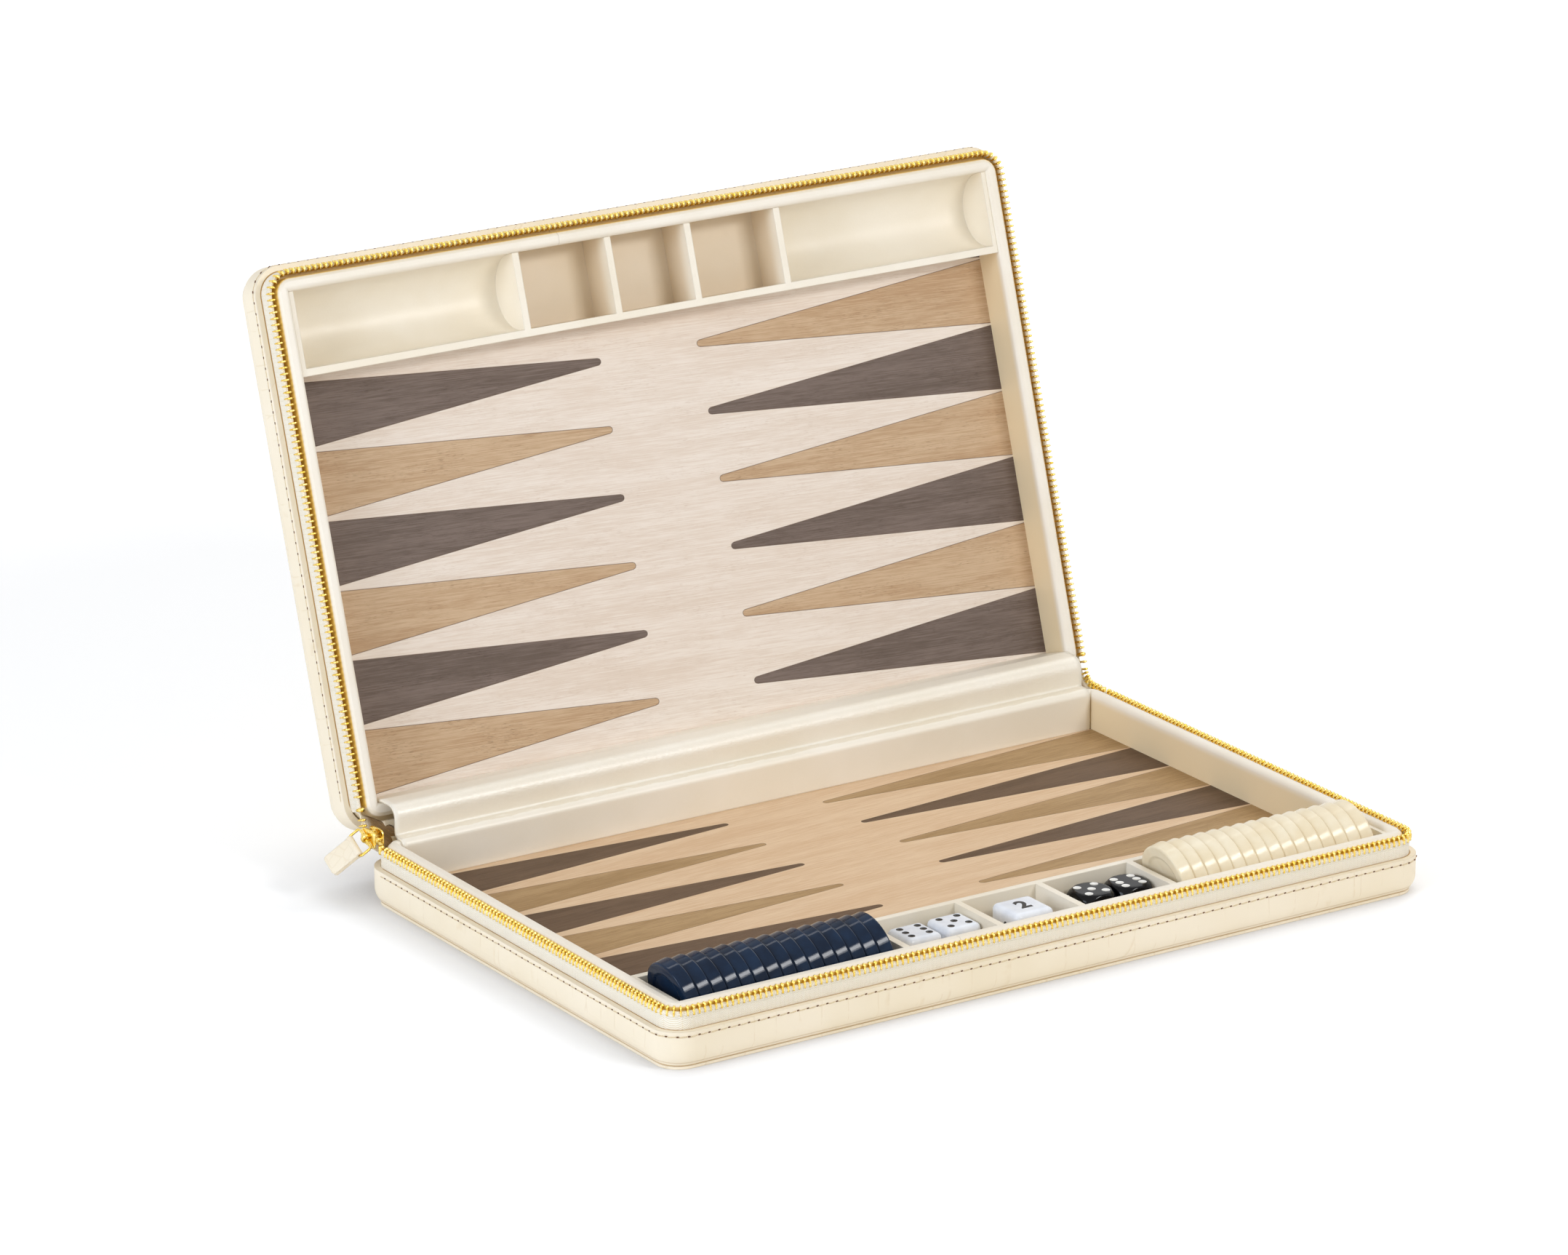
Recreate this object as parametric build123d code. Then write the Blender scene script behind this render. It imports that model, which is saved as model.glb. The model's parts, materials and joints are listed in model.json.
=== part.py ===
from build123d import *

import math
import os

os.makedirs("parts", exist_ok=True)

# A zipped travel case that opens into a backgammon board.  It is two alike shallow trays, hinged
# along their backs by leather.  Millimetres.  X runs along the hinge, Y from the front to the hinge,
# Z up.  The origin is the centre of the base tray's underside.

# Playing board
POINT_PITCH = 28.0  # along the side wall, from one point to the next
POINTS_A_SIDE = 6
POINT_LENGTH = 142.9
POINT_GAP = 1.0  # bare wood between two neighbouring bases
POINT_TIP = 2.6  # width of the blunt tip
INLAY_DEPTH = 0.6
BOARD_MARGIN = 1.2  # bare wood before the first and after the last point
BOARD_THICKNESS = 6.0

# Organizer along the front of each tray
RAIL = 3.0
DIVIDER = 3.0
END_WALL = 2.0
BAY_SLACK = 8.2  # a side bay over two dice
MIDDLE_SLACK = 17.0  # the middle bay over the doubling cube
TROUGH_SLACK = 2.6  # a trough's width over a checker
TROUGH_END_GAP = 0.5  # at each end of a row of checkers
ORGANIZER_DROP = 1.5  # its top lies this far under the rim
BAY_FLOOR = 2.8  # thickness of the floor
TROUGH_FLOOR = 2.6
TROUGH_EASE = 0.05  # between the half-round and the trough's straight sides

# Tray, in section from the cavity's wall outwards
RIM = 24.6  # parting plane over the underside
FRAME = 5.4  # leather-wrapped frame at the rim
LEDGE = 7.5  # the frame under its zip groove
GROOVE = 6.5  # depth of the zip groove under the rim
RIM_ROUND = 2.0  # the rim's inner edge
RIM_EASE = 1.4  # the rim's outer edge, over the zip groove
TAPE = 0.8
WALL = 2.7  # outer leather over its board
WALL_DROP = 9.0  # the outer leather stops this far under the rim
TURN_IN = 2.8  # how far the wall leans in at its foot
TURN_HEIGHT = 5.9
TAPE_TUCK = 4.6  # how far it goes down behind the outer leather
TAPE_DROP = 3.5  # its woven edge lies this far under the rim
PANEL = 2.4
LIP = 1.1  # turned edge of the bottom panel
LIP_REACH = 0.5
CORNER = 12.0  # outer vertical corners
REAR_RELIEF = 0.3  # the rear wall stops this far under the rim

# Zip chain
TOOTH_PITCH = 2.45
TOOTH_WIDTH = 0.95
TOOTH_THICK = 2.6
TOOTH_HEAD = 1.9  # thickness at the tip
TOOTH_BITE = 0.5  # how far the tips cross the parting plane
STOP_LENGTH = 1.8
CHAIN_STOP = 10.25  # from the hinge axis to the chain's end

# Leather hinge
SPINE = 1.4
SPINE_GAP = 0.1  # from the spine's leather to the hinge axis
SPINE_FOOT = 7.0
STRIP = 1.2
STRIP_SIDE_GAP = 0.8
STRIP_LIFT = 0.05  # clearance to the lid's frame
STRIP_SLACK = 0.1  # over the base's rim
STRIP_FOLD = 6.8  # its upright stretch stands this far before the hinge axis
STRIP_BEND = 4.6  # radius where it leans over to the lid
LID_OPEN = 107.4  # degrees from closed, as it rests

# Zip slider, its bail and the leather pull
SLIDER_LENGTH = 11.0
SLIDER_MOUTH = 8.2
SLIDER_TAIL = 6.4
SLIDER_PLATE = 0.85
PLATE_ROUND = 1.1
CHAIN_FIT = 0.15
SLIDER_RISE = 1.8  # its middle rides this far over the parting plane
SLIDER_GAP = 0.5  # from the chain's end
WEDGE_LENGTH = 3.6
WEDGE_HEIGHT = 2.2
WEDGE_TIP = 0.74  # its height where the two chains meet
LUG_WIDTH = 1.6
LUG_LENGTH = 4.4
LUG_HEIGHT = 2.8
LUG_BORE = 1.8
BAIL_WIRE = 0.8
BAIL_WIDTH = 11.4
BAIL_LENGTH = 6.4
BAIL_STAND = 1.0  # pivot over the slider's plate
BAIL_SLANT = 30.0  # the bail's bar leans down towards the front
BAIL_DROP = 47.0  # its droop from level
TAB_WIDTH = 9.4
TAB_LENGTH = 13.0
TAB_THICK = 2.0
TAB_LOOP = 1.5
TAB_BORE = 0.65

# Playing pieces
CHECKERS_A_SIDE = 15
CHECKER_DIAMETER = 28.5
CHECKER_THICK = 6.0
CHECKER_LEAN = 13.3  # degrees, tops towards -X
CHECKER_GAP = 0.04
CHECKER_REST = 0.2  # over the trough's lowest line
DIE = 16.0
DIE_BEVEL = 1.2
CUBE = 18.0
CUBE_BEVEL = 1.0
REST_GAP = 0.02
DIE_WALL_GAP = 0.3  # between a die and the divider that it lies against
WHITE_DICE_APART = 2.6
BLACK_DICE_APART = 1.1
WHITE_DICE_BACK = (3.1, 3.7)  # behind the bay's middle, from the left
BLACK_DICE_BACK = (3.1, 2.7)
CUBE_BACK = -1.1

# Worked out from the above
LEAN = math.radians(CHECKER_LEAN)
CHECKER_PITCH = (CHECKER_THICK + CHECKER_GAP) / math.cos(LEAN)
CHECKER_SPREAD = CHECKER_DIAMETER / 2 * math.sin(LEAN) + CHECKER_THICK / 2 * math.cos(LEAN)
CHECKER_DROP = CHECKER_DIAMETER / 2 * math.cos(LEAN) + CHECKER_THICK / 2 * math.sin(LEAN)
ROW = (CHECKERS_A_SIDE - 1) * CHECKER_PITCH + 2 * CHECKER_SPREAD
TROUGH = CHECKER_DIAMETER + TROUGH_SLACK
MIDDLE_BAY = CUBE + MIDDLE_SLACK
SIDE_BAY = 2 * DIE + BAY_SLACK
BAY_START = MIDDLE_BAY / 2 + DIVIDER
TROUGH_START = BAY_START + SIDE_BAY + DIVIDER
TROUGH_END = TROUGH_START + ROW + 2 * TROUGH_END_GAP
CAVITY_WIDTH = 2 * (TROUGH_END + END_WALL)
BOARD_DEPTH = POINTS_A_SIDE * POINT_PITCH + 2 * BOARD_MARGIN
CAVITY_DEPTH = BOARD_DEPTH + RAIL + TROUGH
CAVITY_FRONT = -CAVITY_DEPTH / 2
CAVITY_REAR = CAVITY_DEPTH / 2
BOARD_FRONT = CAVITY_REAR - BOARD_DEPTH
BOARD_TOP = PANEL + BOARD_THICKNESS
OUTER = LEDGE + TAPE + WALL
TAPE_LINE = LEDGE + TAPE / 2
WALL_TOP = RIM - WALL_DROP
TAPE_TOP = RIM - TAPE_DROP
TAPE_FOOT = WALL_TOP - TAPE_TUCK
ORGANIZER_TOP = RIM - ORGANIZER_DROP
TROUGH_MIDDLE = CAVITY_FRONT + TROUGH / 2
TROUGH_RADIUS = TROUGH / 2 - TROUGH_EASE
HINGE_Y = CAVITY_REAR + OUTER + SPINE + SPINE_GAP
HINGE_AXIS = Axis((0, HINGE_Y, RIM), (-1, 0, 0))
CHAIN_END = HINGE_Y - CHAIN_STOP


def save(shape, name):
    shape.label = name
    export_step(shape, f"parts/{name}.step")


def group(solids):
    return Compound(children=list(solids))


def outline(out):
    """The tray's plan, `out` from the cavity's walls."""
    radius = CORNER - (OUTER - out)
    return RectangleRounded(CAVITY_WIDTH + 2 * out, CAVITY_DEPTH + 2 * out, radius)


def slab(out, low, high):
    return extrude(Pos(0, 0, low) * outline(out), high - low)


def block(x, y, z):
    """A box from its low and high limits along each axis."""
    middle = Pos(sum(x) / 2, sum(y) / 2, sum(z) / 2)
    return middle * Box(x[1] - x[0], y[1] - y[0], z[1] - z[0])


def cavity(low, high):
    half = CAVITY_WIDTH / 2
    return block((-half, half), (CAVITY_FRONT, CAVITY_REAR), (low, high))


# Tray


def bottom_panel():
    """Leather-covered board; its turned edge shows as a thin lip under the wall."""
    foot_face = OUTER - TURN_IN
    return slab(foot_face + LIP_REACH, 0, LIP) + slab(LEDGE, LIP, PANEL)


def frame():
    """Wrapped frame round the cavity, stepped outside for the zip, rounded at the rim."""
    step = RIM - GROOVE
    upper = slab(FRAME, step, RIM)
    upper = chamfer(upper.edges().group_by(Axis.Z)[-1], RIM_EASE)
    body = slab(LEDGE, PANEL, step) + upper - cavity(PANEL, RIM)
    rim = body.faces().sort_by(Axis.Z)[-1]
    return fillet(rim.inner_wires()[0].edges(), RIM_ROUND)


def side_wall():
    """Outer leather over board: it turns in at the foot and stands full height at the rear."""
    plane = Plane((0, CAVITY_FRONT - LEDGE, 0), x_dir=(0, -1, 0), z_dir=(-1, 0, 0))
    thick = OUTER - LEDGE
    turn = LIP + TURN_HEIGHT
    foot = (thick - TURN_IN, LIP)
    turn_radius = (TURN_IN**2 + TURN_HEIGHT**2) / (2 * TURN_IN)
    corners = [
        (thick, turn),
        (thick, WALL_TOP),
        (TAPE, WALL_TOP),
        (TAPE, TAPE_FOOT),
        (0, TAPE_FOOT),
        (0, LIP),
        foot,
    ]
    turned = RadiusArc(corners[0], foot, turn_radius)
    section = make_face([*Polyline(*corners).edges(), turned])
    ring = sweep(plane * section, path=outline(LEDGE).wire())
    half = CAVITY_WIDTH / 2 + OUTER - CORNER
    rear = (CAVITY_REAR + LEDGE, CAVITY_REAR + OUTER)
    return ring + block((-half, half), rear, (TAPE_FOOT, RIM - REAR_RELIEF))


def point_outline(side, row):
    """A long triangle with a blunt tip, its base on the cavity's side wall."""
    base = side * CAVITY_WIDTH / 2
    tip = base - side * POINT_LENGTH
    middle = CAVITY_REAR - BOARD_MARGIN - (row + 0.5) * POINT_PITCH
    wide = (POINT_PITCH - POINT_GAP) / 2
    narrow = POINT_TIP / 2
    corners = [
        (base, middle - wide),
        (base, middle + wide),
        (tip, middle + narrow),
        (tip, middle - narrow),
    ]
    return make_face(Polyline(*corners, close=True))


def points(first, low):
    """The inlays of one colour: every second point, `first` saying where each side starts."""
    return [
        extrude(Pos(0, 0, low) * point_outline(side, row), INLAY_DEPTH)
        for side, start in zip((-1, 1), first)
        for row in range(start, POINTS_A_SIDE, 2)
    ]


def board():
    half = CAVITY_WIDTH / 2
    panel = block((-half, half), (BOARD_FRONT, CAVITY_REAR), (PANEL, BOARD_TOP))
    low = BOARD_TOP - INLAY_DEPTH
    return panel - points((0, 0), low) - points((1, 1), low)


def organizer():
    """Lined insert: rail, end walls, three flat bays and a half-round trough at each end."""
    half = CAVITY_WIDTH / 2
    body = block((-half, half), (CAVITY_FRONT, BOARD_FRONT), (PANEL, ORGANIZER_TOP))
    bay_depth = (CAVITY_FRONT, CAVITY_FRONT + TROUGH)
    side_bay = (BAY_START, BAY_START + SIDE_BAY)
    spans = (-side_bay[1], -side_bay[0]), (-MIDDLE_BAY / 2, MIDDLE_BAY / 2), side_bay
    for span in spans:
        body -= block(span, bay_depth, (PANEL + BAY_FLOOR, RIM))
    length = TROUGH_END - TROUGH_START
    low = PANEL + TROUGH_FLOOR
    for side in (-1, 1):
        middle = side * (TROUGH_START + TROUGH_END) / 2
        at = Pos(middle, TROUGH_MIDDLE, low + TROUGH_RADIUS)
        body -= at * Rot(0, 90, 0) * Cylinder(TROUGH_RADIUS, length)
        span = (middle - length / 2, middle + length / 2)
        body -= block(span, bay_depth, (low + TROUGH_RADIUS, RIM))
    return body


def tape():
    """Woven zip tape round three sides, held between the frame and the outer wall."""
    ring = slab(LEDGE + TAPE, TAPE_FOOT, TAPE_TOP) - slab(LEDGE, TAPE_FOOT, TAPE_TOP)
    return ring - open_rear(TAPE_FOOT, TAPE_TOP)


def open_rear(low, high):
    reach = CAVITY_WIDTH / 2 + OUTER
    return block((-reach, reach), (CHAIN_END, CAVITY_REAR + OUTER), (low, high))


# Zip chain


def chain_line():
    """The chain's route in plan: from the rear left, round the front, to the rear right."""
    x = CAVITY_WIDTH / 2 + TAPE_LINE
    y = CAVITY_FRONT - TAPE_LINE
    corners = (-x, CHAIN_END), (-x, y), (x, y), (x, CHAIN_END)
    return FilletPolyline(*corners, radius=CORNER - (OUTER - TAPE_LINE))


def tooth():
    """One element: a foot as wide as the chain, drawn in towards its tip."""
    foot, tip = TOOTH_THICK / 2, TOOTH_HEAD / 2
    low, high = TAPE_TOP, RIM + TOOTH_BITE
    section = make_face(Polyline((-foot, low), (foot, low), (tip, high), (-tip, high), close=True))
    plane = Plane((0, 0, 0), x_dir=(0, 1, 0), z_dir=(1, 0, 0))
    return extrude(plane * section, TOOTH_WIDTH / 2, both=True)


def teeth(offset):
    """The elements, `offset` pitches along, and a stop at each end of the chain."""
    line = chain_line()
    spare = 2 * STOP_LENGTH
    count = int((line.length - spare) / TOOTH_PITCH) - 1
    start = (line.length - (count - 1) * TOOTH_PITCH) / 2 + offset * TOOTH_PITCH
    element = tooth()
    solids = []
    for i in range(count):
        u = (start + i * TOOTH_PITCH) / line.length
        at, along = line @ u, line % u
        turn = math.degrees(math.atan2(along.Y, along.X))
        solids.append(Pos(at.X, at.Y, 0) * Rot(0, 0, turn) * element)
    x = CAVITY_WIDTH / 2 + TAPE_LINE
    for side in (-1, 1):
        across = (side * x - TOOTH_THICK / 2, side * x + TOOTH_THICK / 2)
        along = (CHAIN_END - STOP_LENGTH, CHAIN_END)
        solids.append(block(across, along, (TAPE_TOP, RIM)))
    return group(solids)


def tray(dark_first, offset):
    """Every rigid piece of one tray, open side up."""
    tan_first = tuple(1 - start for start in dark_first)
    low = BOARD_TOP - INLAY_DEPTH
    return {
        "bottom_panel": bottom_panel(),
        "side_wall": side_wall(),
        "frame": frame(),
        "board": board(),
        "dark_points": group(points(dark_first, low)),
        "tan_points": group(points(tan_first, low)),
        "organizer": organizer(),
        "zipper_tape": tape(),
        "zipper_teeth": teeth(offset),
    }


# Leather hinge


def lid_point(back, up):
    """Where a place on the lid lies at rest: `back` and `up` from the hinge axis, lid laid flat."""
    lift = math.radians(180 - LID_OPEN)
    y = HINGE_Y + back * math.cos(lift) - up * math.sin(lift)
    z = RIM + back * math.sin(lift) + up * math.cos(lift)
    return y, z


def ribbon(line, width, thickness):
    section = Plane(line @ 0, x_dir=(1, 0, 0), z_dir=line % 0) * Rectangle(width, thickness)
    return sweep(section, path=line)


def hinge_strip():
    """Inner leather: up the base's rear wall, in a loose fold over the gap and into the lid."""
    half = STRIP / 2
    wall = CAVITY_REAR - half
    over = RIM + half + STRIP_SLACK
    fold = HINGE_Y - STRIP_FOLD
    reach = HINGE_Y - CAVITY_REAR + half + STRIP_LIFT
    edge = lid_point(reach, half)
    foot = lid_point(reach, BOARD_TOP - RIM + STRIP_LIFT)
    top = edge[1] - STRIP_SLACK
    route = (wall, BOARD_TOP), (wall, over), (fold, over), (fold, top), edge, foot
    bends = [RIM_ROUND + half, RIM_ROUND, STRIP_BEND, RIM_ROUND + half]
    line = FilletPolyline(*[(0, y, z) for y, z in route], radius=bends)
    return ribbon(line, CAVITY_WIDTH - 2 * STRIP_SIDE_GAP, STRIP)


def spine():
    """Outer leather: a flange on each tray's back, joined by a bend round the hinge axis."""
    line_out = SPINE / 2 + SPINE_GAP
    drop = SPINE_FOOT - RIM
    lift = math.radians(180 - LID_OPEN)
    low = (0, HINGE_Y - line_out, SPINE_FOOT)
    top = (0, HINGE_Y - line_out, RIM)
    halfway = (math.pi + lift) / 2
    crest_y = HINGE_Y + line_out * math.cos(halfway)
    crest = (0, crest_y, RIM + line_out * math.sin(halfway))
    over = (0, *lid_point(line_out, 0))
    end = (0, *lid_point(line_out, drop))
    bend = Edge.make_three_point_arc(top, crest, over)
    line = Wire([Edge.make_line(low, top), bend, Edge.make_line(over, end)])
    return ribbon(line, CAVITY_WIDTH + 2 * (OUTER - CORNER), SPINE)


# Zip slider and pull


def slider_middle():
    """The slider's middle on the tape's line, just past the end of the chain."""
    x = -(CAVITY_WIDTH / 2 + TAPE_LINE)
    return Vector(x, CHAIN_END + SLIDER_GAP + SLIDER_LENGTH / 2, RIM + SLIDER_RISE)


def pull_plane():
    """On the slider's outer plate: X along the bail's bar, Y down the case, Z outwards."""
    slant = math.radians(BAIL_SLANT)
    out = TOOTH_THICK / 2 + CHAIN_FIT + SLIDER_PLATE
    face = slider_middle() - Vector(out, 0, 0)
    return Plane(face, x_dir=(0, math.cos(slant), math.sin(slant)), z_dir=(-1, 0, 0))


def slider():
    """Two plates astride the chain, joined by the wedge in its mouth, with a lug for the bail."""
    side = Plane(slider_middle(), x_dir=(0, 1, 0), z_dir=(1, 0, 0))
    half, mouth, tail = SLIDER_LENGTH / 2, SLIDER_MOUTH / 2, SLIDER_TAIL / 2
    corners = (-half, -mouth), (half, -tail), (half, tail), (-half, mouth)
    plate = make_face(Polyline(*corners, close=True))
    plate = fillet(plate.vertices(), PLATE_ROUND)
    gap = TOOTH_THICK / 2 + CHAIN_FIT
    body = [
        extrude(side.offset(start) * plate, SLIDER_PLATE)
        for start in (gap, -gap - SLIDER_PLATE)
    ]
    high, low = WEDGE_HEIGHT / 2, WEDGE_TIP / 2
    nose = -half + CHAIN_FIT
    wedge = (nose, -high), (nose + WEDGE_LENGTH, -low), (nose + WEDGE_LENGTH, low), (nose, high)
    web = extrude(side * make_face(Polyline(*wedge, close=True)), gap + SLIDER_PLATE / 2, both=True)
    lug = Pos(0, 0, LUG_HEIGHT / 2) * Box(LUG_WIDTH, LUG_LENGTH, LUG_HEIGHT)
    bore = Pos(0, 0, BAIL_STAND) * Rot(0, 90, 0) * Cylinder(LUG_BORE / 2, LUG_WIDTH)
    return web + body + pull_plane() * (lug - bore)


def bail_place():
    """The bail's pivot, with Z along the bail as it droops."""
    return pull_plane().location * Pos(0, 0, BAIL_STAND) * Rot(-BAIL_DROP, 0, 0)


def bail():
    """Stamped loop through the lug."""
    inner_width = BAIL_WIDTH - 2 * BAIL_WIRE
    inner_length = BAIL_LENGTH - 2 * BAIL_WIRE
    ring = RectangleRounded(BAIL_WIDTH, BAIL_LENGTH, 2 * BAIL_WIRE)
    ring -= RectangleRounded(inner_width, inner_length, BAIL_WIRE)
    loop = extrude(Plane.XZ * ring, BAIL_WIRE / 2, both=True)
    return bail_place() * Pos(0, 0, (BAIL_LENGTH - BAIL_WIRE) / 2) * loop


def pull_tab():
    """Leather pull, folded round the bail's far bar and stitched to itself."""
    section = Circle(TAB_LOOP) + Pos(0, TAB_LENGTH / 2) * Rectangle(TAB_THICK, TAB_LENGTH)
    section -= Circle(TAB_BORE)
    across = Plane((0, 0, 0), x_dir=(0, 1, 0), z_dir=(1, 0, 0))
    body = extrude(across * section, TAB_WIDTH / 2, both=True)
    body = fillet(body.edges().filter_by(Axis.Y).group_by(Axis.Z)[-1], TAB_LOOP)
    return bail_place() * Pos(0, 0, BAIL_LENGTH - BAIL_WIRE) * body


# Playing pieces


def checkers(start):
    """One side's checkers on edge along a trough from `start`, each leaning on the next."""
    disc = Rot(0, 90 - CHECKER_LEAN, 0) * Cylinder(CHECKER_DIAMETER / 2, CHECKER_THICK)
    z = PANEL + TROUGH_FLOOR + CHECKER_REST + CHECKER_DROP
    first = start + TROUGH_END_GAP + CHECKER_SPREAD
    return [
        Pos(first + i * CHECKER_PITCH, TROUGH_MIDDLE, z) * disc
        for i in range(CHECKERS_A_SIDE)
    ]


def dice(first, apart, back):
    """Two dice side by side on their bay's floor."""
    shape = chamfer(Box(DIE, DIE, DIE).edges(), DIE_BEVEL)
    z = PANEL + BAY_FLOOR + REST_GAP + DIE / 2
    return [
        Pos(x, TROUGH_MIDDLE + y, z) * shape
        for x, y in zip((first, first + DIE + apart), back)
    ]


def doubling_cube():
    z = PANEL + BAY_FLOOR + REST_GAP + CUBE / 2
    return Pos(0, TROUGH_MIDDLE + CUBE_BACK, z) * chamfer(Box(CUBE, CUBE, CUBE).edges(), CUBE_BEVEL)


# Assembly

for name, piece in tray((0, 1), 0).items():
    save(piece, "base_" + name)

# the lid is the base's mirror image over the parting plane, swung open about the hinge
parting = Plane((0, 0, RIM), z_dir=(0, 0, 1))
for name, piece in tray((1, 0), 0.5).items():
    save(mirror(piece, about=parting).rotate(HINGE_AXIS, LID_OPEN), "lid_" + name)

save(hinge_strip(), "hinge_strip")
save(spine(), "spine")
save(slider(), "zipper_slider")
save(bail(), "pull_bail")
save(pull_tab(), "pull_tab")

for i, piece in enumerate(checkers(-TROUGH_END), 1):
    save(piece, f"navy_checker_{i:02d}")
for i, piece in enumerate(checkers(TROUGH_START), 1):
    save(piece, f"cream_checker_{i:02d}")
# each pair of dice lies against the divider at the right of its bay
first = -BAY_START - DIE_WALL_GAP - 1.5 * DIE - WHITE_DICE_APART
for i, piece in enumerate(dice(first, WHITE_DICE_APART, WHITE_DICE_BACK), 1):
    save(piece, f"white_die_{i}")
first = BAY_START + SIDE_BAY - DIE_WALL_GAP - 1.5 * DIE - BLACK_DICE_APART
for i, piece in enumerate(dice(first, BLACK_DICE_APART, BLACK_DICE_BACK), 1):
    save(piece, f"black_die_{i}")
save(doubling_cube(), "doubling_cube")
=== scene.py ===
import json
import math
import random

import bmesh
import bpy
from mathutils import Matrix, Vector


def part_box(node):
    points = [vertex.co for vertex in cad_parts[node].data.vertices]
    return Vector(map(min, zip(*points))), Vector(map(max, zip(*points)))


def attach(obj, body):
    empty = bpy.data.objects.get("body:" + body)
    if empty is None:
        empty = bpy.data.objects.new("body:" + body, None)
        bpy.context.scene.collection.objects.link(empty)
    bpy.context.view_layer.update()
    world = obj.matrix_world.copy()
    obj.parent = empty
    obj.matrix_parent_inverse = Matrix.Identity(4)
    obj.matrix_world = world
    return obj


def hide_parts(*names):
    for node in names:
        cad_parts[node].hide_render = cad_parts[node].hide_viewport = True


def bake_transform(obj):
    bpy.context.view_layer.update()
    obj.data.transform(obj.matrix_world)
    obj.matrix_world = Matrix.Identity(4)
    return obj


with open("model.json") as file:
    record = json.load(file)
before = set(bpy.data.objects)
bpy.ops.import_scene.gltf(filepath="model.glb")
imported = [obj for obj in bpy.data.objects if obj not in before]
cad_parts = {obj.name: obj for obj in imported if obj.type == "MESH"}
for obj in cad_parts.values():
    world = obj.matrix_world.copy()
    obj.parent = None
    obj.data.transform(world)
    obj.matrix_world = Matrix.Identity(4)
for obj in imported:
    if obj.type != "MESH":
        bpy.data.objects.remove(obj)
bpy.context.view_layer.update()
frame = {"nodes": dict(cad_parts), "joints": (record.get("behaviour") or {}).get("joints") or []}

random.seed(7)

# ---------------------------------------------------------------------------
# Outer side walls: board covered with calf leather that is embossed with faint
# crocodile creases, glued round the tray, its top edge folded over the zip tape
# and its foot turned in under the case.  The lid is the base's mirror image.
MM = 0.001
hinge = next(j for j in frame["joints"] if j["name"] == "lid_hinge")
pin = Vector(hinge["pos_m"])
opened = -math.radians(hinge["range_deg"][0])
closed_lid = Matrix.Translation((0, 0, 2 * pin.z)) @ Matrix.Diagonal((1, 1, -1, 1))
swing = Matrix.Translation(pin) @ Matrix.Rotation(opened, 4, (-1, 0, 0)) @ Matrix.Translation(-pin)
trays = {"base": Matrix.Identity(4), "lid": swing @ closed_lid}

cavity_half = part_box("base_board")[1].x
cavity_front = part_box("base_organizer")[0].y
cavity_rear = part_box("base_board")[1].y
rim = pin.z
wall_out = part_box("base_side_wall")[1].x - cavity_half
wall_foot = 1.1 * MM
wall_top = rim - 9.0 * MM
wall_in = 8.3
corner_base = 1.0 * MM
fold_end = 101.0
scale_long, scale_high, row_shift = 17.0, 12.5, 7.7


def paint(code):
    """A written colour as the linear one that a shader takes."""
    parts = [int(code[i : i + 2], 16) / 255 for i in (1, 3, 5)]
    return (*[p / 12.92 if p < 0.04045 else ((p + 0.055) / 1.055) ** 2.4 for p in parts], 1)


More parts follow.
